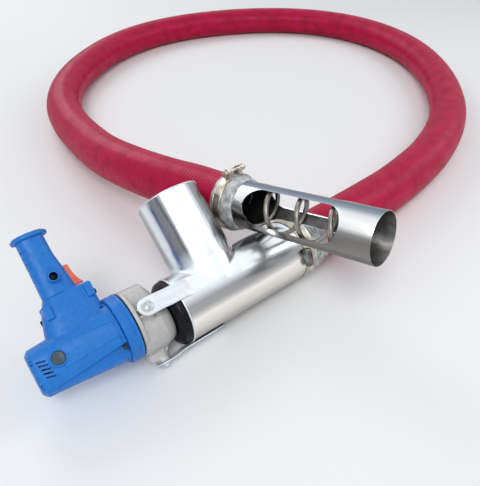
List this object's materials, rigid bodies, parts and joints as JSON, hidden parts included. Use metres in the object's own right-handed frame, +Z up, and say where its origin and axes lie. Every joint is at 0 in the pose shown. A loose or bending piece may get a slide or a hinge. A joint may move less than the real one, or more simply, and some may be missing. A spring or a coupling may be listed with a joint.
{
  "type": "portable grain auger",
  "caption": "Hand-held motor with gearbox driving a shaftless spiral through a steel discharge tee, a flexible hose and a windowed inlet tube.",
  "frame": {"origin": "on the ground under the middle of the auger's own bounding box, the loose hose left out", "axes": "+X along the spindle from the motor to the hose end of the tee, +Z up"},
  "size_m": [1.7585, 1.6367, 0.2487],
  "materials": {
    "red_hose": "satin ribbed PVC",
    "polished_steel": "polished stainless steel",
    "spring_steel": "plain steel strip",
    "zinc_plate": "dull zinc plate",
    "cast_aluminium": "cast, matte",
    "blue_plastic": "satin moulded",
    "orange_plastic": "satin moulded",
    "black_rubber": "matte",
    "grey_cuff": "crinkled, dull",
    "copper": "copper",
    "laminated_iron": "plain",
    "carbon": "matte"
  },
  "bodies": {
    "auger": {"hose": "red_hose", "tee_tube": "polished_steel", "tee_cuff": "grey_cuff", "tee_clamp_band": "zinc_plate", "tee_clamp_housing": "zinc_plate", "tee_clamp_screw": "zinc_plate", "inlet_tube": "polished_steel", "inlet_cuff": "grey_cuff", "inlet_clamp_band": "zinc_plate", "inlet_clamp_bolt": "zinc_plate", "inlet_clamp_trunnion": "zinc_plate", "inlet_clamp_nut": "zinc_plate", "spindle_tail_bearing": "spring_steel", "spindle_bearing": "spring_steel", "gearbox_housing": "cast_aluminium", "bearing_plate": "cast_aluminium", "strap_1": "polished_steel", "strap_2": "polished_steel", "strap_3": "polished_steel", "strap_washer_1": "zinc_plate", "strap_washer_2": "zinc_plate", "strap_washer_3": "zinc_plate", "strap_bolt_1": "zinc_plate", "strap_bolt_2": "zinc_plate", "strap_bolt_3": "zinc_plate", "end_seal": "black_rubber", "gearbox_gasket": "black_rubber", "motor_flange": "blue_plastic", "motor_housing": "blue_plastic", "stator": "laminated_iron", "armature_front_bearing": "spring_steel", "armature_rear_bearing": "spring_steel", "carbon_brush_upper": "carbon", "carbon_brush_lower": "carbon", "brush_cap_upper": "black_rubber", "brush_cap_lower": "black_rubber", "handle_end_cap": "blue_plastic", "cable_gland": "black_rubber", "switch_block": "black_rubber", "housing_screw_1": "zinc_plate", "housing_screw_2": "zinc_plate", "housing_screw_3": "zinc_plate", "housing_screw_4": "zinc_plate", "side_plug_front": "black_rubber", "side_plug_rear": "black_rubber"},
    "spindle": {"spindle": "spring_steel", "output_gear": "laminated_iron", "drive_hub": "laminated_iron", "hub_screw": "zinc_plate", "tee_spiral": "spring_steel"},
    "armature": {"armature_shaft": "spring_steel", "armature_core": "copper", "commutator": "copper", "cooling_fan": "black_rubber", "armature_pinion": "laminated_iron"},
    "inlet_spiral": {"inlet_spiral": "spring_steel"},
    "trigger": {"trigger": "orange_plastic"},
    "lock_button": {"lock_button": "black_rubber"}
  },
  "joints": [
    {"name": "spindle_spin", "type": "hinge", "parent": "auger", "child": "spindle", "pos_m": [-0.0379, 0.0122, 0.0605], "axis": [1, 0, 0], "continuous": true},
    {"name": "armature_spin", "type": "hinge", "parent": "auger", "child": "armature", "pos_m": [-0.1379, 0.02443, 0.07231], "axis": [1, 0, 0], "continuous": true},
    {"name": "inlet_spiral_spin", "type": "hinge", "parent": "auger", "child": "inlet_spiral", "pos_m": [0.173, 0.079, 0.15], "axis": [0.2014, -0.9579, 0.2048], "continuous": true},
    {"name": "trigger_pull", "type": "slide", "parent": "auger", "child": "trigger", "axis": [-1, 0, 0], "range_m": [0, 0.006], "stiffness_N_per_m": 600, "springref_m": -0.004},
    {"name": "lock_button_press", "type": "slide", "parent": "auger", "child": "lock_button", "axis": [0, 0.6947, -0.7193], "range_m": [0, 0.0025], "stiffness_N_per_m": 500, "springref_m": -0.002}
  ],
  "couplings": [
    {"joint": "armature_spin", "follows": "spindle_spin", "ratio": -2.7778},
    {"joint": "inlet_spiral_spin", "follows": "spindle_spin", "ratio": 1}
  ]
}
